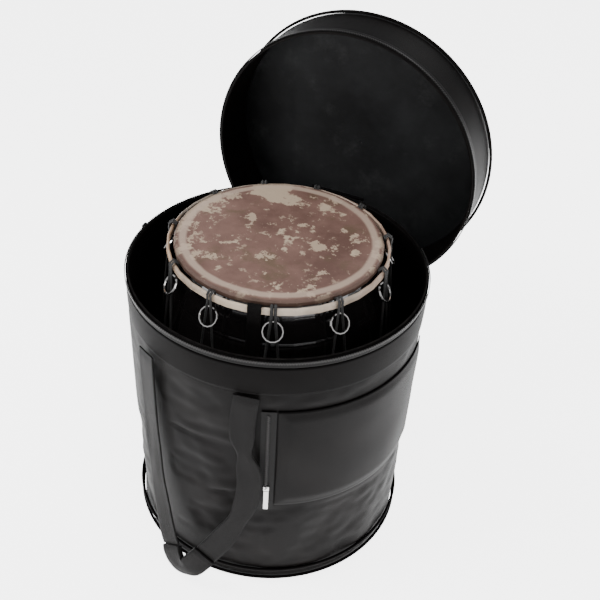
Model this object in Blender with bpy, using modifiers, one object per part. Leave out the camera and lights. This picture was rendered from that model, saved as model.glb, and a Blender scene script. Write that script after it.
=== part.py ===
# Double-headed barrel drum (dhol) standing in its padded carry bag, lid hanging open behind.
# Metres, +Z up. Origin: centre of the bag's underside. Lid hinge at +Y, carry strap at -Y.
import bpy, bmesh, math
from mathutils import Vector, Matrix

# ---- driving dimensions ----
SEG = 32            # facets round a large turned piece
ZC = 0.286          # mid height of the drum as it stands in the bag
Z_HEAD = 0.560      # treble head plane
R_BELLY = 0.196     # widest radius of the shell
DROP = 0.0445       # how much the shell narrows towards each end
HALF = 0.265        # half length used by the barrel curve
R_ROLL = 0.1675     # skin roll, outside
CANE = (0.1741, 0.1785, 0.540, 0.553)   # cane hoop: inner, outer, bottom, top
ROPE = 0.0023       # rope radius
BAG_R0, BAG_R1, BAG_H, BAG_T = 0.233, 0.243, 0.510, 0.006
BASE_T = 0.0088
LID_R, LID_D, LID_T = 0.241, 0.095, 0.005
HINGE = (0.2475, 0.510)                 # y, z of the lid's hinge line
LID_Y, LID_Z = 0.252, 0.565             # lid opening's centre at rest
LACE = (192.2, 229.4, 260.7, 292.8, 325.5, 360.5, 391.4, 423.4, 453.7, 484.0, 514.3)
STRAP_AZ = 283.8

for ob in list(bpy.data.objects):
    bpy.data.objects.remove(ob, do_unlink=True)
col = bpy.data.collections.new("dhol")
bpy.context.scene.collection.children.link(col)

MATS = {}
def mat(name, rgb, rough=0.5, metal=0.0):
    if name not in MATS:
        m = bpy.data.materials.new(name); m.use_nodes = True
        b = m.node_tree.nodes["Principled BSDF"]
        b.inputs["Base Color"].default_value = (*rgb, 1)
        b.inputs["Roughness"].default_value = rough
        b.inputs["Metallic"].default_value = metal
        MATS[name] = m
    return MATS[name]
LACQ = ("black_lacquer", (0.01, 0.01, 0.011), 0.15, 0.0)
SKIN = ("goat_skin", (0.55, 0.40, 0.33), 0.6, 0.0)
CANEM = ("cane", (0.55, 0.40, 0.28), 0.5, 0.0)
ROPEM = ("black_rope", (0.02, 0.02, 0.02), 0.8, 0.0)
CHROME = ("chrome", (0.8, 0.8, 0.82), 0.12, 1.0)
CLOTH = ("nylon_cloth", (0.03, 0.027, 0.026), 0.7, 0.0)
WEB = ("webbing", (0.03, 0.029, 0.028), 0.75, 0.0)
ZIP = ("zip_tape", (0.02, 0.02, 0.02), 0.6, 0.0)

def keep(ob, m):
    for c in list(ob.users_collection):
        c.objects.unlink(ob)
    col.objects.link(ob)
    ob.data.materials.clear(); ob.data.materials.append(mat(*m))
    return ob

def turned(name, prof, m, seg=SEG):
    """Closed profile (outer side first, running down) swept round Z."""
    me = bpy.data.meshes.new(name)
    n = len(prof)
    me.from_pydata([(r, 0, z) for r, z in prof], [(i, (i + 1) % n) for i in range(n)], [])
    ob = bpy.data.objects.new(name, me); col.objects.link(ob)
    s = ob.modifiers.new("turn", 'SCREW')
    s.axis = 'Z'; s.angle = 2 * math.pi; s.steps = seg; s.render_steps = seg
    s.use_merge_vertices = True; s.merge_threshold = 0.00001; s.use_smooth_shade = True
    return keep(ob, m)

def disc(name, prof, m, seg=SEG):
    """Open profile from axis to axis, running from the top, swept round Z."""
    me = bpy.data.meshes.new(name)
    n = len(prof)
    me.from_pydata([(r, 0, z) for r, z in prof], [(i, i + 1) for i in range(n - 1)], [])
    ob = bpy.data.objects.new(name, me); col.objects.link(ob)
    s = ob.modifiers.new("turn", 'SCREW')
    s.axis = 'Z'; s.angle = 2 * math.pi; s.steps = seg; s.render_steps = seg
    s.use_merge_vertices = True; s.merge_threshold = 0.00001; s.use_smooth_shade = True
    return keep(ob, m)

def torus(name, R, r, loc, rot, m, a=SEG, b=6):
    bpy.ops.mesh.primitive_torus_add(major_radius=R, minor_radius=r, major_segments=a,
                                     minor_segments=b, location=loc, rotation=rot)
    ob = bpy.context.object; ob.name = name; ob.data.name = name
    for p in ob.data.polygons: p.use_smooth = True
    return keep(ob, m)

def sheet(name, fn, nu, nv, thick, m):
    """Open surface fn(u,v) thickened outwards by Solidify."""
    bm = bmesh.new()
    bmesh.ops.create_grid(bm, x_segments=nu, y_segments=nv, size=0.5)
    for v in bm.verts:
        v.co = Vector(fn(v.co.x + 0.5, v.co.y + 0.5))
    me = bpy.data.meshes.new(name); bm.to_mesh(me); bm.free()
    ob = bpy.data.objects.new(name, me); col.objects.link(ob)
    s = ob.modifiers.new("cloth", 'SOLIDIFY'); s.thickness = thick; s.offset = 1.0
    return keep(ob, m)

def cyl(az, r, z):
    a = math.radians(az)
    return (r * math.cos(a), r * math.sin(a), z)

def bag_r(z):
    return BAG_R0 + (BAG_R1 - BAG_R0) * z / BAG_H

def panel(name, a0, a1, z0, z1, off, thick, m, nu=12, nv=1):
    return sheet(name, lambda u, v: cyl(a0 + (a1 - a0) * u, bag_r(z0 + (z1 - z0) * v) + off + 0.0011, z0 + (z1 - z0) * v),
                 nu, nv, thick, m)

def mz(z):          # mirror a height about the drum's middle
    return 2 * ZC - z

# ---- drum: shell ----
def shell_r(z):
    return R_BELLY + 0.004 - 0.045 * ((z - ZC) / HALF) ** 2 - 0.004
zs = [0.549, 0.5395, 0.53, 0.50, 0.487, 0.484, 0.481, 0.478, 0.475, 0.472, 0.43, 0.38, 0.33]
zs = zs + [ZC] + [mz(z) for z in reversed(zs)]
outer = [(shell_r(z) - (0.0012 if abs(abs(z - ZC) - 0.195) < 0.0005 or abs(abs(z - ZC) - 0.189) < 0.0005 else 0.0), z) for z in zs]
inner = [(shell_r(z) - 0.013, z) for z in (mz(0.549), 0.10, 0.19, ZC, 0.382, 0.472, 0.549)]
turned("shell", outer + inner, LACQ, 32)

# ---- both heads: skin with its roll, and the cane hoop outside it ----
def head(z, flip):
    return mz(z) if flip else z
for nm, fl in (("treble", False), ("bass", True)):
    prof = [(0.0, Z_HEAD), (0.08, Z_HEAD), (0.160, Z_HEAD), (0.1648, 0.5592), (R_ROLL, 0.5560), (R_ROLL, 0.5500),
            (0.1655, 0.5470), (0.1600, 0.5470), (0.1590, 0.5500), (0.1590, 0.5500 + 0.0035), (0.0, 0.5580)]
    prof[9] = (0.1560, 0.5562)
    prof[8] = (0.1585, 0.5520)
    prof.insert(10, (0.08, 0.5580))
    if fl:
        prof = [(r, mz(z)) for r, z in reversed(prof)]
    disc(nm + "_skin", prof, SKIN)
    ri, ro, zb, zt = CANE; c = 0.0015
    p = [(ro - c, zt), (ro, zt - c), (ro, zb + c), (ro - c, zb), (ri + c, zb), (ri, zb + c), (ri, zt - c), (ri + c, zt)]
    if fl:
        p = [(r, mz(z)) for r, z in reversed(p)]
    turned(nm + "_cane_hoop", p, CANEM)

# ---- rope: zigzag between the hoops, over each hoop and back behind it ----
TAN = 0.363
def leg_r(z):
    u = abs(z - ZC)
    c = R_BELLY + ROPE + 0.0012
    f = lambda q: c - 0.045 * (q / HALF) ** 2
    t = TAN - ZC
    if u <= t:
        return f(u)
    top = 0.1817
    return f(t) + (top - f(t)) * (u - t) / (0.248 - t) if u < 0.248 else top
pts = []
nL = len(LACE)
bots = [(LACE[i] + (LACE[i + 1] if i + 1 < nL else LACE[0] + 360)) / 2 for i in range(nL)]
D = math.degrees(0.0029 / 0.1812)
hs = [0.540, 0.363, 0.325, ZC, mz(0.325), mz(0.363), mz(0.540)]
def over(az, sgn, up, first):
    seq = [(0.1817, 0.5540), (0.1758, 0.5590), (0.1703, 0.5540), (0.1703, 0.5440)]
    if not first: seq = seq[::-1]
    return [cyl(az + sgn * D, r, z if up else mz(z)) for r, z in seq]
for i in range(nL):
    a, b = LACE[i], bots[i]
    c = LACE[i + 1] if i + 1 < nL else LACE[0] + 360
    for z in hs:
        t = (0.540 - z) / (0.540 - mz(0.540))
        pts.append(cyl(a + D + (b - D - a - D) * t, leg_r(z), z))
    pts += over(b, -1, False, True) + over(b, 1, False, False)
    for z in reversed(hs):
        t = (z - mz(0.540)) / (0.540 - mz(0.540))
        pts.append(cyl(b + D + (c - D - b - D) * t, leg_r(z), z))
    pts += over(c, -1, True, True) + over(c, 1, True, False)
cu = bpy.data.curves.new("rope_lacing", 'CURVE'); cu.dimensions = '3D'
sp = cu.splines.new('POLY'); sp.points.add(len(pts) - 1)
for k, q in enumerate(pts):
    sp.points[k].co = (*q, 1)
sp.use_cyclic_u = True
cu.bevel_depth = ROPE; cu.bevel_resolution = 0; cu.render_resolution_u = 0
rope = bpy.data.objects.new("rope_lacing", cu); col.objects.link(rope)
cu.materials.append(mat(*ROPEM))

# ---- tuning rings, each round the two rope legs under the treble hoop ----
TILT = math.radians(55)
for i, a in enumerate(LACE):
    ar = math.radians(a)
    nrm = Vector((math.cos(ar) * math.sin(TILT), math.sin(ar) * math.sin(TILT), math.cos(TILT)))
    rot = Vector((0, 0, 1)).rotation_difference(nrm).to_euler()
    z = 0.5150
    torus("tuning_ring_%02d" % (i + 1), 0.0155, 0.00175, cyl(a, leg_r(z), z), rot, CHROME, 14, 6)

# ---- the drum's own webbing strap, looped over both hoops ----
prof = [(0.1705, 0.5450), (0.1705, 0.5535), (0.1758, 0.5572), (0.1805, 0.5535), (0.1806, 0.540), (0.1850, 0.500),
        (leg_r(0.44) + 0.0045, 0.44), (leg_r(0.363) + 0.0045, 0.363), (leg_r(0.325) + 0.0045, 0.325)]
prof = prof + [(leg_r(ZC) + 0.0045, ZC)] + [(r, mz(z)) for r, z in reversed(prof)]
W2 = 0.0105
def strap_fn(u, v):
    k = u * (len(prof) - 1); i = min(int(round(k)), len(prof) - 1)
    r, z = prof[i]
    a = math.radians(STRAP_AZ); t = (v - 0.5) * 2 * W2
    return (r * math.cos(a) - t * math.sin(a), r * math.sin(a) + t * math.cos(a), z)
s = sheet("drum_carry_strap", strap_fn, len(prof) - 1, 1, 0.0016, WEB)
s.modifiers["cloth"].offset = 0.0

# ---- bag body ----
w = [(bag_r(z), z) for z in (0.510, 0.34, 0.17, 0.0092)]
wi = [(bag_r(z) - BAG_T, z) for z in (0.0092, 0.17, 0.34, 0.510)]
turned("bag_wall", w + wi, CLOTH)
disc("bag_base", [(0.0, BASE_T), (0.229, BASE_T), (0.2322, 0.0065), (0.2322, 0.0020), (0.230, 0.0), (0.0, 0.0)], CLOTH)
torus("base_piping_lower", 0.2366, 0.0028, (0, 0, 0.0120), (0, 0, 0), ZIP, SEG, 5)
torus("base_piping_upper", 0.2372, 0.0028, (0, 0, 0.0330), (0, 0, 0), ZIP, SEG, 5)
torus("rim_piping", 0.2402, 0.0015, (0, 0, 0.5120), (0, 0, 0), ZIP, SEG, 5)
cb = [(0.497, 0.0018), (0.443, 0.0018), (0.443, 0.0003), (0.497, 0.0003)]
turned("collar_band", [(bag_r(z) + o, z) for z, o in cb], CLOTH)
panel("rim_zip_tape", 140, 400, 0.4985, 0.5110, 0.0, 0.0012, ZIP, 28)
panel("pocket_panel", 296.4, 373, 0.2005, 0.4100, 0.0, 0.0030, CLOTH, 10, 2)
panel("pocket_zip_tape", 290.4, 296.0, 0.1900, 0.4100, 0.0, 0.0014, ZIP, 2)

def block(name, az, r, z, size, m, bev=0.0006):
    """Rounded block: size is tangential, radial, vertical; r is its centre."""
    bpy.ops.mesh.primitive_cube_add(size=1)
    ob = bpy.context.object; ob.name = name; ob.data.name = name
    for v in ob.data.vertices:
        v.co = Vector((v.co.x * size[0], v.co.y * size[1], v.co.z * size[2]))
    ob.location = cyl(az, r, z); ob.rotation_euler = (0, 0, math.radians(az + 90))
    b = ob.modifiers.new("edge", 'BEVEL'); b.width = bev; b.segments = 1
    return keep(ob, m)

block("pocket_slider", 293.2, bag_r(0.24) + 0.0048, 0.2430, (0.0090, 0.0036, 0.0100), CHROME)
block("pocket_pull", 293.2, bag_r(0.24) + 0.0052, 0.2160, (0.0080, 0.0018, 0.0420), CHROME)
block("main_zip_slider", 181.5, bag_r(0.505) + 0.0048, 0.5060, (0.0120, 0.0036, 0.0100), ZIP)
block("main_zip_pull", 181.5, bag_r(0.49) + 0.0052, 0.4830, (0.0080, 0.0018, 0.0340), ZIP)

# ---- the bag's carry strap: two legs down to a wrapped grip ----
route = [(285.1, 0.2462, 0.440), (284.0, 0.2490, 0.36), (287.3, 0.2540, 0.27), (285.0, 0.2590, 0.20), (278.0, 0.2660, 0.130), (271.5, 0.2740, 0.080),
         (266.5, 0.2800, 0.050), (261.5, 0.2780, 0.050), (257.0, 0.2700, 0.080), (251.0, 0.2590, 0.15), (246.0, 0.2530, 0.25), (243.3, 0.2500, 0.35), (242.0, 0.2490, 0.440)]
rp = [Vector(cyl(*q)) for q in route]
def along(t, lst):
    k = t * (len(lst) - 1); i = min(int(k), len(lst) - 2); f = k - i
    p0 = lst[max(i - 1, 0)]; p1 = lst[i]; p2 = lst[i + 1]; p3 = lst[min(i + 2, len(lst) - 1)]
    return 0.5 * ((2 * p1) + (p2 - p0) * f + (2 * p0 - 5 * p1 + 4 * p2 - p3) * f * f + (3 * p1 - p0 - 3 * p2 + p3) * f ** 3)
def ribbon(name, t0, t1, n, width, thick, m):
    def fn(u, v):
        t = t0 + (t1 - t0) * u
        p = along(t, rp); d = (along(min(t + 0.01, 1), rp) - along(max(t - 0.01, 0), rp)).normalized()
        nr = Vector((p.x, p.y, 0)).normalized()
        wd = d.cross(nr).normalized()
        return p + wd * (v - 0.5) * width
    s = sheet(name, fn, n, 1, thick, m)
    s.modifiers["cloth"].offset = 0.0
    return s
ribbon("bag_strap_right", 0.0, 0.40, 9, 0.040, 0.0026, WEB)
ribbon("strap_grip_wrap", 0.405, 0.645, 6, 0.044, 0.009, CLOTH)
ribbon("bag_strap_left", 0.65, 1.0, 8, 0.040, 0.0026, WEB)

# ---- lid, modelled as if closed and then stood open behind the bag ----
def as_open(ob):
    ob.location = (0, LID_Y, LID_Z); ob.rotation_euler = (-math.pi / 2, 0, 0)
    return ob
as_open(turned("lid_skirt", [(LID_R, LID_D), (LID_R, LID_D / 2), (LID_R, 0.0), (LID_R - LID_T, 0.0), (LID_R - LID_T, LID_D)], CLOTH))
as_open(disc("lid_panel", [(0.0, LID_D + 0.0053), (0.237, LID_D + 0.0053), (0.2400, LID_D + 0.0030), (0.2400, LID_D + 0.0003), (0.0, LID_D + 0.0003)], CLOTH))
as_open(torus("lid_piping", 0.2442, 0.0028, (0, 0, 0), (0, 0, 0), ZIP, SEG, 5))
lp = bpy.data.objects["lid_piping"]; lp.location = (0, LID_Y + LID_D - 0.001, LID_Z)
as_open(turned("lid_zip_tape", [(LID_R + 0.0015, 0.0140), (LID_R + 0.0015, 0.0005), (LID_R + 0.0003, 0.0005), (LID_R + 0.0003, 0.0140)], ZIP))
bpy.ops.mesh.primitive_cylinder_add(vertices=10, radius=0.003, depth=0.10, location=(0, HINGE[0], HINGE[1]), rotation=(0, math.pi / 2, 0))
ob = bpy.context.object; ob.name = "lid_hinge_piping"; keep(ob, ZIP)
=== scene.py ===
"""A dhol standing in its open padded carry bag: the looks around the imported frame. Metres."""
import bpy, math
from mathutils import Vector, Matrix, noise


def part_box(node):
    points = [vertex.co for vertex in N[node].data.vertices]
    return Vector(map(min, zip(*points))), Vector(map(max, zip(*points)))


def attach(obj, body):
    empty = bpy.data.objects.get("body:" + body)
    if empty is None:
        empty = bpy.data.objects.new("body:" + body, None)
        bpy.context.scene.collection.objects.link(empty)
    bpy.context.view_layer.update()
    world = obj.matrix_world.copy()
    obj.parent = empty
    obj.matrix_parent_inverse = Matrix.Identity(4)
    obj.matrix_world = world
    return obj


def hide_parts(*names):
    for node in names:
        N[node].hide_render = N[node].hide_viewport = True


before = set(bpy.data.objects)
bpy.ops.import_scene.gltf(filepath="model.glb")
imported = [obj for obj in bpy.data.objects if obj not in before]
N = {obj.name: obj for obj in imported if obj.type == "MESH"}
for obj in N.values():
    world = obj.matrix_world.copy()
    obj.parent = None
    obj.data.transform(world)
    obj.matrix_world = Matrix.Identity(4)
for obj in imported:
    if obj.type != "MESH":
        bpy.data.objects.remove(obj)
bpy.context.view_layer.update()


def rad(a):
    return math.radians(a)


def sm(a, b, x):
    t = max(0.0, min(1.0, (x - a) / (b - a)))
    return t * t * (3 - 2 * t)


def nz(x, y, z, f, s=0.0):
    return noise.noise(Vector((x * f + s, y * f - s, z * f + 2 * s)))


def mesh(name, verts, faces, mat=None, smooth=True):
    me = bpy.data.meshes.new(name)
    me.from_pydata([tuple(v) for v in verts], [], faces)
    me.update()
    ob = bpy.data.objects.new(name, me)
    bpy.context.scene.collection.objects.link(ob)
    for p in me.polygons:
        p.use_smooth = smooth
    if mat:
        me.materials.append(mat)
    return ob


def grid(name, nu, nv, fn, mat, thick=0.0, closed=False, offset=-1.0):
    verts = [fn(i / (nu if closed else nu - 1), j / (nv - 1)) for j in range(nv) for i in range(nu)]
    faces = []
    for j in range(nv - 1):
        for i in range(nu if closed else nu - 1):
            k = (i + 1) % nu
            faces.append((j * nu + i, j * nu + k, (j + 1) * nu + k, (j + 1) * nu + i))
    ob = mesh(name, verts, faces, mat)
    if thick:
        m = ob.modifiers.new("thick", "SOLIDIFY")
        m.thickness = thick
        m.offset = offset
    return ob


def tube(name, pts, r, mat, closed=False, res=3):
    cu = bpy.data.curves.new(name, "CURVE")
    cu.dimensions = "3D"
    cu.bevel_depth = r
    cu.bevel_resolution = res
    cu.use_fill_caps = True
    sp = cu.splines.new("POLY")
    sp.points.add(len(pts) - 1)
    for p, q in zip(sp.points, pts):
        p.co = (*q, 1)
    sp.use_cyclic_u = closed
    ob = bpy.data.objects.new(name, cu)
    bpy.context.scene.collection.objects.link(ob)
    cu.materials.append(mat)
    return ob


# ---------------------------------------------------------------- materials
def material(name, c1, c2, rough=0.6, scale=12.0, detail=5.0, lo=0.35, hi=0.65, metal=0.0,
             bump=0.0, bump_scale=200.0, coat=0.0, stretch=(1, 1, 1), weave=0.0, sheen=0.0, spots=None, spec=0.5):
    m = bpy.data.materials.new(name)
    m.use_nodes = True
    t = m.node_tree
    b = t.nodes["Principled BSDF"]
    b.inputs["Roughness"].default_value = rough
    b.inputs["Metallic"].default_value = metal
    b.inputs["Specular IOR Level"].default_value = spec
    b.inputs["Coat Weight"].default_value = coat
    b.inputs["Coat Roughness"].default_value = 0.08
    b.inputs["Sheen Weight"].default_value = sheen
    tc = t.nodes.new("ShaderNodeTexCoord")
    mp = t.nodes.new("ShaderNodeMapping")
    mp.inputs["Scale"].default_value = stretch
    t.links.new(tc.outputs["Object"], mp.inputs["Vector"])
    if c1 == c2:
        b.inputs["Base Color"].default_value = (*c1, 1)
    else:
        n = t.nodes.new("ShaderNodeTexNoise")
        n.inputs["Scale"].default_value = scale
        n.inputs["Detail"].default_value = detail
        n.inputs["Roughness"].default_value = 0.62
        t.links.new(mp.outputs[0], n.inputs["Vector"])
        r = t.nodes.new("ShaderNodeValToRGB")
        r.color_ramp.elements[0].position = lo
        r.color_ramp.elements[0].color = (*c1, 1)
        r.color_ramp.elements[1].position = hi
        r.color_ramp.elements[1].color = (*c2, 1)
        t.links.new(n.outputs[0], r.inputs[0])
        last = r.outputs[0]
        for sc, a, c, p0, p1 in spots or ():
            n2 = t.nodes.new("ShaderNodeTexNoise")
            n2.inputs["Scale"].default_value = sc
            n2.inputs["Detail"].default_value = 6.0
            n2.inputs["Roughness"].default_value = 0.7
            t.links.new(mp.outputs[0], n2.inputs["Vector"])
            r2 = t.nodes.new("ShaderNodeValToRGB")
            r2.color_ramp.elements[0].position = p0
            r2.color_ramp.elements[0].color = (0, 0, 0, 1)
            r2.color_ramp.elements[1].position = p1
            r2.color_ramp.elements[1].color = (a, a, a, 1)
            t.links.new(n2.outputs[0], r2.inputs[0])
            mx = t.nodes.new("ShaderNodeMix")
            mx.data_type = "RGBA"
            mx.inputs[7].default_value = (*c, 1)
            t.links.new(r2.outputs[0], mx.inputs[0])
            t.links.new(last, mx.inputs[6])
            last = mx.outputs[2]
        t.links.new(last, b.inputs["Base Color"])
    if bump:
        bn = t.nodes.new("ShaderNodeTexNoise")
        bn.inputs["Scale"].default_value = bump_scale
        bn.inputs["Detail"].default_value = 3.0
        t.links.new(tc.outputs["Object"], bn.inputs["Vector"])
        bu = t.nodes.new("ShaderNodeBump")
        bu.inputs["Strength"].default_value = bump
        bu.inputs["Distance"].default_value = 0.001
        t.links.new(bn.outputs[0], bu.inputs["Height"])
        t.links.new(bu.outputs[0], b.inputs["Normal"])
    return m


CLOTH = material("nylon", (.0013, .0010, .0010), (.0030, .0023, .0021), .5, 9, bump=.3, bump_scale=900, spec=.045)
CLOTH2 = material("nylon_collar", (.0010, .0008, .0008), (.0022, .0017, .0016), .55, 9, bump=.3, bump_scale=900, spec=.03)
LINING = material("lining", (.0012, .0011, .0011), (.0028, .0026, .0026), .6, 7, bump=.3, bump_scale=500, spec=.04)
PANEL = material("lid_lining", (.0030, .0031, .0033), (.011, .0115, .012), .6, 6, bump=.3, bump_scale=500, spec=.10,
                 spots=[(14, .3, (.04, .04, .04), .55, .75)])
WEB = material("webbing", (.0015, .0012, .0012), (.0034, .0028, .0027), .5, 300, bump=.8, bump_scale=1300, spec=.06)
TAPE = material("zip_tape", (.0018, .0016, .0016), (.0038, .0034, .0033), .5, 200, bump=.5, bump_scale=1500, spec=.06)
PIPE = material("piping", (.003, .0027, .0026), (.008, .0072, .0068), .7, 60, spec=.02)
TEETH = material("zip_teeth", (.008, .0072, .007), (.02, .0185, .018), .4, 300, spec=.15)
LACQ = material("lacquer", (.0035, .003, .003), (.007, .006, .006), .12, 6, coat=.8)
ROPE = material("rope", (.008, .0075, .0075), (.02, .019, .018), .6, 400, bump=.9, bump_scale=700)
CHROME = material("chrome", (.62, .60, .58), (.62, .60, .58), .14, metal=1.0)
ZMETAL = material("zip_metal", (.42, .41, .40), (.42, .41, .40), .28, metal=1.0)
BMETAL = material("black_metal", (.012, .012, .012), (.012, .012, .012), .3, metal=.6)
SKIN = material("goat_skin", (.105, .055, .043), (.20, .115, .092), .55, 8, lo=.36, hi=.64, bump=.4, bump_scale=160, spec=.3,
                spots=[(9, .7, (.10, .068, .04), .55, .64), (7.5, .85, (.46, .36, .26), .54, .565),
                       (23, .8, (.43, .33, .24), .58, .60), (60, .55, (.40, .30, .22), .60, .64)])


def head_material():
    """The skin with its cream band near the edge and a darker mottled roll."""
    t = SKIN.node_tree
    b = t.nodes["Principled BSDF"]
    src = b.inputs["Base Color"].links[0].from_socket
    tc = t.nodes.new("ShaderNodeTexCoord")
    mp = t.nodes.new("ShaderNodeMapping")
    mp.inputs["Scale"].default_value = (1, 1, 0)
    t.links.new(tc.outputs["Object"], mp.inputs["Vector"])
    ln = t.nodes.new("ShaderNodeVectorMath")
    ln.operation = "LENGTH"
    t.links.new(mp.outputs[0], ln.inputs[0])
    wob = t.nodes.new("ShaderNodeTexNoise")
    wob.inputs["Scale"].default_value = 22
    t.links.new(tc.outputs["Object"], wob.inputs["Vector"])
    ad = t.nodes.new("ShaderNodeMath")
    ad.operation = "MULTIPLY_ADD"
    ad.inputs[1].default_value = .006
    t.links.new(wob.outputs[0], ad.inputs[0])
    t.links.new(ln.outputs["Value"], ad.inputs[2])
    r = t.nodes.new("ShaderNodeValToRGB")
    e = r.color_ramp.elements
    e[0].position, e[0].color = .149, (0, 0, 0, 1)
    e[1].position, e[1].color = .152, (.75, .75, .75, 1)
    e.new(.161).color = (.75, .75, .75, 1)
    e.new(.164).color = (0, 0, 0, 1)
    t.links.new(ad.outputs[0], r.inputs[0])
    mx = t.nodes.new("ShaderNodeMix")
    mx.data_type = "RGBA"
    mx.inputs[7].default_value = (.42, .32, .25, 1)
    t.links.new(r.outputs[0], mx.inputs[0])
    t.links.new(src, mx.inputs[6])
    r2 = t.nodes.new("ShaderNodeValToRGB")
    e = r2.color_ramp.elements
    e[0].position, e[0].color = .163, (0, 0, 0, 1)
    e[1].position, e[1].color = .169, (.9, .9, .9, 1)
    t.links.new(ad.outputs[0], r2.inputs[0])
    m2 = t.nodes.new("ShaderNodeMix")
    m2.data_type = "RGBA"
    m2.inputs[7].default_value = (.075, .045, .033, 1)
    t.links.new(r2.outputs[0], m2.inputs[0])
    t.links.new(mx.outputs[2], m2.inputs[6])
    t.links.new(m2.outputs[2], b.inputs["Base Color"])


def cane_material():
    """Cane wrapped round the hoop: the colour changes by stretches round it."""
    m = material("cane", (.2, .15, .1), (.5, .4, .3), .5, 30, bump=.5, bump_scale=260)
    t = m.node_tree
    b = t.nodes["Principled BSDF"]
    src = b.inputs["Base Color"].links[0].from_socket
    tc = t.nodes.new("ShaderNodeTexCoord")
    g = t.nodes.new("ShaderNodeTexGradient")
    g.gradient_type = "RADIAL"
    t.links.new(tc.outputs["Object"], g.inputs[0])
    r = t.nodes.new("ShaderNodeValToRGB")
    e = r.color_ramp.elements
    # azimuth/360 shifted by a half, as the radial gradient gives it
    stops = [(0, (.16, .15, .14)), (.03, (.30, .15, .07)), (.12, (.33, .17, .08)), (.17, (.18, .13, .10)),
             (.24, (.48, .38, .28)), (.33, (.55, .47, .38)), (.42, (.22, .18, .15)), (.55, (.40, .24, .18)),
             (.7, (.34, .22, .17)), (.9, (.20, .17, .15))]
    e[0].position, e[0].color = 0, (*stops[0][1], 1)
    e[1].position, e[1].color = 1, (*stops[0][1], 1)
    for p, c in stops[1:]:
        e.new(p).color = (*c, 1)
    t.links.new(g.outputs[0], r.inputs[0])
    mx = t.nodes.new("ShaderNodeMix")
    mx.data_type = "RGBA"
    mx.blend_type = "MULTIPLY"
    mx.inputs[0].default_value = .8
    sc = t.nodes.new("ShaderNodeMix")
    sc.data_type = "RGBA"
    sc.inputs[0].default_value = .55
    t.links.new(src, sc.inputs[6])
    t.links.new(r.outputs[0], sc.inputs[7])
    t.links.new(sc.outputs[2], b.inputs["Base Color"])
    return m


head_material()
CANE = cane_material()


def dress(node, mat):
    o = N[node]
    if not o.material_slots:
        o.data.materials.append(mat)
    for s in o.material_slots:
        s.material = mat


for n in ("treble_skin", "bass_skin"):
    dress(n, SKIN)
for n in ("treble_cane_hoop", "bass_cane_hoop"):
    dress(n, CANE)
dress("shell", LACQ)
dress("rope_lacing", ROPE)
dress("drum_carry_strap", WEB)
for i in range(1, 12):
    dress("tuning_ring_%02d" % i, CHROME)
for n in ("pocket_slider", "pocket_pull"):
    dress(n, ZMETAL)
for n in ("main_zip_slider", "main_zip_pull"):
    dress(n, BMETAL)
dress("bag_base", CLOTH2)
dress("lid_hinge_piping", CLOTH2)


# ---------------------------------------------------------------- the bag
def bag_r(z):
    return .233 + .010 * z / .51


def folds(a, z):
    """How far the padded wall stands in or out there, in metres: soft dents and creases."""
    x, y = math.cos(rad(a)), math.sin(rad(a))
    d = .0055 * nz(x * .24, y * .24, z * .55, 8.0, 3.1) + .0034 * nz(x * .24, y * .24, z * .8, 19.0, 8.2)
    d += .0016 * nz(x * .24, y * .24, z * 1.5, 38.0, 1.2)
    # a long crease at mid height on the front left, and one lower down
    for a0, a1, z0, z1, dep in ((238, 284, .318, .317, .0030), (270, 291, .2045, .2250, .0026), (200, 236, .262, .235, .0026)):
        u = (a - a0) / (a1 - a0)
        if -.15 < u < 1.15:
            w = sm(-.15, .2, u) * (1 - sm(.8, 1.15, u))
            zz = z0 + (z1 - z0) * u + .003 * nz(a * .05, 0, 0, 1, 2)
            d -= dep * w * math.exp(-((z - zz) / .0045) ** 2)
            d += .45 * dep * w * math.exp(-((z - zz - .013) / .009) ** 2)
    fade = sm(.012, .05, z) * (1 - sm(.43, .455, z))
    return max(-.0036, min(d, .0022 if not 236 < a < 292 else .0006)) * fade


def keep_clear(a, z):
    """0 where the pocket, its zip or the straps lie on the wall, so that it stays behind them."""
    k = 1.0
    if 286 < a < 377 or a < 17:
        aa = a + 360 if a < 17 else a
        k = min(k, 1 - sm(286.5, 289.5, aa) * (1 - sm(374, 377, aa)) * sm(.182, .192, z) * (1 - sm(.415, .425, z)))
    return k


def wall(u, v):
    """Up the outside, over the rim and down the inside."""
    a = u * 360
    if v < .62:
        z = .0092 + (.5075 - .0092) * v / .62
        r = bag_r(z) + min(0.0030, folds(a, z)) * keep_clear(a, z) - .0004
    elif v < .66:
        t = (v - .62) / .04
        z = .5075 + .0022 * math.sin(math.pi * t)
        r = bag_r(.51) - .0004 - .0050 * t
    else:
        t = (v - .66) / .34
        z = .5075 - (.5075 - .0095) * t
        r = bag_r(z) - .0054 + .0012 * nz(math.cos(rad(a)) * .24, math.sin(rad(a)) * .24, z, 9, 5)
    return (r * math.cos(rad(a)), r * math.sin(rad(a)), z)


w = grid("bag_wall_cloth", 300, 150, wall, CLOTH, closed=True)
w.data.materials.append(LINING)
for p in w.data.polygons:
    if p.index // 300 > 98:
        p.material_index = 1
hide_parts("bag_wall")
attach(w, "bag")


def recolour(node, mat):
    dress(node, mat)




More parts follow.
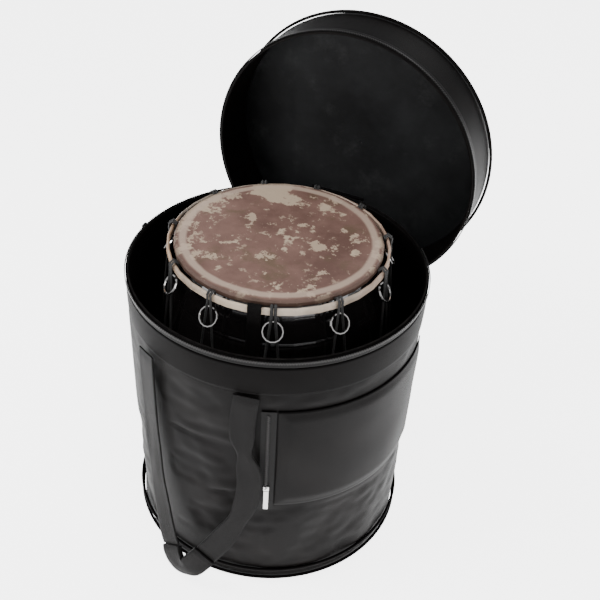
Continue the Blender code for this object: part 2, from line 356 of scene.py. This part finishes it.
def ring_of(node, mat, body, axis_y=None):
    """A smooth ring in the place of a turned CAD ring; axis_y: the lid's axis instead of Z."""
    vs = [v.co for v in N[node].data.vertices]
    if axis_y is None:
        rr, hh = [math.hypot(v.x, v.y) for v in vs], [v.z for v in vs]
    else:
        rr, hh = [math.hypot(v.x, v.z - axis_y) for v in vs], [v.y for v in vs]
    h, q = (max(hh) + min(hh)) / 2, (max(hh) - min(hh)) / 2
    r = max(rr) - q
    if axis_y is None:
        pts = [(r * math.cos(rad(x)), r * math.sin(rad(x)), h) for x in range(0, 360, 2)]
    else:
        pts = [(r * math.cos(rad(x)), h, axis_y + r * math.sin(rad(x))) for x in range(0, 360, 2)]
    o = tube(node + "_round", pts, q, mat, closed=True)
    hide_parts(node)
    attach(o, body)
    return o


def band(name, node, a0, a1, z0, z1, off, mat, soft=0.0, thick=.0008):
    def fn(u, v):
        x, z = a0 + (a1 - a0) * u, z0 + (z1 - z0) * v
        e = math.sin(math.pi * v)
        r = bag_r(z) + off + soft * e * (1 + nz(math.cos(rad(x)) * .24, math.sin(rad(x)) * .24, z, 16, 2))
        return (r * math.cos(rad(x)), r * math.sin(rad(x)), z)
    o = grid(name, 240, 12, fn, mat, thick=thick, closed=(a1 - a0 == 360))
    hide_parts(node)
    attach(o, "bag")
    return o


band("collar_cloth", "collar_band", 0, 360, .443, .497, .0012, CLOTH2, soft=.0006)
band("rim_tape_cloth", "rim_zip_tape", 140, 400, .4985, .5085, .0013, TAPE)
ring_of("rim_piping", PIPE, "bag")
for n in ("base_piping_lower", "base_piping_upper"):
    ring_of(n, CLOTH2, "bag")
recolour("pocket_zip_tape", TAPE)

# the hanging strap: the same route as its solids, twisted and creased
ROUTE = [(285.1, .2462, .440), (284.0, .2490, .36), (287.3, .2540, .27), (285.0, .2590, .20), (278.0, .2660, .130), (271.5, .2740, .080),
         (266.5, .2800, .050), (261.5, .2780, .050), (257.0, .2700, .080), (251.0, .2590, .15), (246.0, .2530, .25), (243.3, .2500, .35), (242.0, .2490, .440)]
RP = [Vector((q[1] * math.cos(rad(q[0])), q[1] * math.sin(rad(q[0])), q[2])) for q in ROUTE]


def along(t):
    k = t * (len(RP) - 1)
    i = min(int(k), len(RP) - 2)
    f = k - i
    p0, p1, p2, p3 = RP[max(i - 1, 0)], RP[i], RP[i + 1], RP[min(i + 2, len(RP) - 1)]
    return .5 * ((2 * p1) + (p2 - p0) * f + (2 * p0 - 5 * p1 + 4 * p2 - p3) * f * f + (3 * p1 - p0 - 3 * p2 + p3) * f ** 3)


def strap(name, node, t0, t1, width, thick, mat, neck=()):
    def fn(u, v):
        t = t0 + (t1 - t0) * u
        p, d = along(t), (along(min(t + .01, 1)) - along(max(t - .01, 0))).normalized()
        nr = Vector((p.x, p.y, 0)).normalized()
        wd = d.cross(nr).normalized()
        k = 1.0
        for tc, am, sg in neck:
            k -= am * math.exp(-((t - tc) / sg) ** 2)
        e = (v - .5) * 2
        lift = .0030 * (1 - k) * (1 - e * e) + .0012 * (1 + nz(t * 14, e, 0, 1, 3)) * sm(0, .06, u) * (1 - sm(.94, 1, u))
        return p + wd * (v - .5) * width * k + nr * lift
    o = grid(name, 120, 11, fn, mat, thick=thick, offset=0.0)
    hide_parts(node)
    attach(o, "bag")
    return o


strap("strap_right_web", "bag_strap_right", 0, .40, .040, .0022, WEB, neck=((.115, .42, .018), (.27, .22, .03)))
strap("strap_left_web", "bag_strap_left", .65, 1, .040, .0022, WEB, neck=((.80, .15, .03),))
strap("strap_grip_cloth", "strap_grip_wrap", .405, .645, .042, .0075, WEB, neck=((.52, .2, .03),))


# the pocket: a quilted panel with a soft belly between its sewn edges
def pocket(u, v):
    a = 296.4 + (373 - 296.4) * u
    z = .2005 + (.410 - .2005) * v
    e = min(sm(0, .07, u), 1 - sm(.93, 1, u), sm(0, .10, v), 1 - sm(.90, 1, v))
    r = bag_r(z) + .0020 + .0034 * e + .0016 * e * nz(math.cos(rad(a)) * .24, math.sin(rad(a)) * .24, z, 14, 4)
    return (r * math.cos(rad(a)), r * math.sin(rad(a)), z)


pk = grid("pocket_cloth", 90, 50, pocket, CLOTH, thick=.0018)
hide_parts("pocket_panel")
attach(pk, "bag")


# zip teeth
def teeth(name, pts, normal_up, body):
    verts, faces = [], []
    for i in range(len(pts) - 1):
        p, q = Vector(pts[i]), Vector(pts[i + 1])
        d = (q - p).normalized()
        n = Vector(normal_up(p)).normalized()
        s = d.cross(n).normalized()
        c = (p + q) / 2 + s * (.0009 if i % 2 else -.0009)
        k = len(verts)
        for sx in (-1, 1):
            for sy in (-1, 1):
                for sz in (-1, 1):
                    verts.append(c + d * sx * .0009 + s * sy * .0017 + n * sz * .0006)
        faces += [tuple(k + x for x in f) for f in ((0, 1, 3, 2), (4, 6, 7, 5), (0, 4, 5, 1), (2, 3, 7, 6), (0, 2, 6, 4), (1, 5, 7, 3))]
    o = mesh(name, verts, faces, TEETH, smooth=False)
    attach(o, body)
    return o


def radial(p):
    return (p.x, p.y, 0)


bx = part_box("rim_zip_tape")
r_tape = max(bx[1][0], -bx[0][1], -bx[0][0])
teeth("rim_zip_teeth", [((r_tape + .0004) * math.cos(rad(a / 2)), (r_tape + .0004) * math.sin(rad(a / 2)), .5075) for a in range(286, 798, 1)],
      radial, "bag")
rp = max(Vector((v.co.x, v.co.y)).length for v in N["pocket_zip_tape"].data.vertices)
teeth("pocket_zip_teeth", [((rp + .0003) * math.cos(rad(293.1)), (rp + .0003) * math.sin(rad(293.1)), .242 + .0024 * i) for i in range(68)],
      radial, "bag")

# ---------------------------------------------------------------- the lid, open behind the bag
LY, LZ, LR, LD = .252, .565, .241, .095


def lid_pt(r, a, d):
    """Lid point: radius r, angle a round the lid's own axis, d into the lid from its mouth."""
    return (r * math.cos(rad(a)), LY + d, LZ + r * math.sin(rad(a)))


def skirt(u, v):
    a = u * 360
    r = LR - .0003 + .0016 * nz(math.cos(rad(a)) * .24, math.sin(rad(a)) * .24, v * .1, 12, 1) * sm(0, .12, v) * (1 - sm(.88, 1, v))
    return lid_pt(min(r, LR + .001), a, .001 + (LD - .002) * v)


sk = grid("lid_skirt_cloth", 240, 24, skirt, CLOTH, thick=.0044, closed=True, offset=1.0)
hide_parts("lid_skirt")
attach(sk, "lid")


def top(u, v):
    a = u * 360
    r = (LR - .0012) * max(v, .004)
    x, z = r * math.cos(rad(a)), r * math.sin(rad(a))
    belly = .0010 * (1 - v ** 2) + .0016 * nz(x, z, 0, 9, 6)
    crease = .0015 * math.exp(-((x + .135 + .04 * z) / .005) ** 2)
    fade = 1 - sm(.93, 1, v)
    return (x, LY + LD + .0007 - (belly - .5 * crease) * fade, LZ + z)


tp = grid("lid_panel_cloth", 200, 60, top, PANEL, thick=.0036, closed=True, offset=1.0)
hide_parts("lid_panel")
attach(tp, "lid")
ring_of("lid_piping", PIPE, "lid", axis_y=LZ)
lt = N["lid_zip_tape"].data.vertices
lr = max(math.hypot(v.co.x, v.co.z - LZ) for v in lt)
ly0, ly1 = min(v.co.y for v in lt), max(v.co.y for v in lt)
lz = grid("lid_tape_cloth", 240, 6, lambda u, v: (lr * math.cos(2 * math.pi * u), ly0 + (ly1 - ly0) * v, LZ + lr * math.sin(2 * math.pi * u)),
          TAPE, thick=.0008, closed=True, offset=1.0)
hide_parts("lid_zip_tape")
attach(lz, "lid")
teeth("lid_zip_teeth", [((lr + .0003) * math.cos(rad(a / 2)), LY + .004, LZ + (lr + .0003) * math.sin(rad(a / 2))) for a in range(-140, 500, 1)],
      lambda p: (p.x, 0, p.z - LZ), "lid")

# ---------------------------------------------------------------- floor, light and camera
stage = material("paper", (.86, .86, .86), (.86, .86, .86), .9, spec=.1)
stage.node_tree.nodes["Principled BSDF"].inputs["Emission Color"].default_value = (1, 1, 1, 1)
stage.node_tree.nodes["Principled BSDF"].inputs["Emission Strength"].default_value = 4.2
fl = mesh("floor", [(-4, -4, -.0005), (4, -4, -.0005), (4, 5, -.0005), (-4, 5, -.0005)], [(0, 1, 2, 3)], stage)
wd = bpy.data.worlds.new("w")
bpy.context.scene.world = wd
wd.use_nodes = True
wd.node_tree.nodes["Background"].inputs[0].default_value = (.96, .97, 1, 1)
wd.node_tree.nodes["Background"].inputs[1].default_value = .7


def area(name, loc, size, power, target=(0, 0, .35)):
    l = bpy.data.lights.new(name, "AREA")
    l.size = size
    l.energy = power
    o = bpy.data.objects.new(name, l)
    bpy.context.scene.collection.objects.link(o)
    o.location = loc
    o.rotation_euler = (Vector(target) - Vector(loc)).to_track_quat("-Z", "Y").to_euler()


area("key", (-1.1, -.9, 2.3), .9, 42)
area("fill", (1.7, -1.2, 1.5), 1.5, 16)
area("back", (.6, 1.9, 2.2), 1.2, 16)

cam = bpy.data.cameras.new("cam")
cam.lens = 60
cam.sensor_width = 36
co = bpy.data.objects.new("cam", cam)
bpy.context.scene.collection.objects.link(co)
R, U, F = (.90883, .41419, .04984), (-.28772, .53582, .79379), (-.30208, .73576, -.60614)
co.matrix_world = Matrix(((R[0], U[0], -F[0], .53742), (R[1], U[1], -F[1], -1.20707), (R[2], U[2], -F[2], 1.44400), (0, 0, 0, 1)))
bpy.context.scene.camera = co
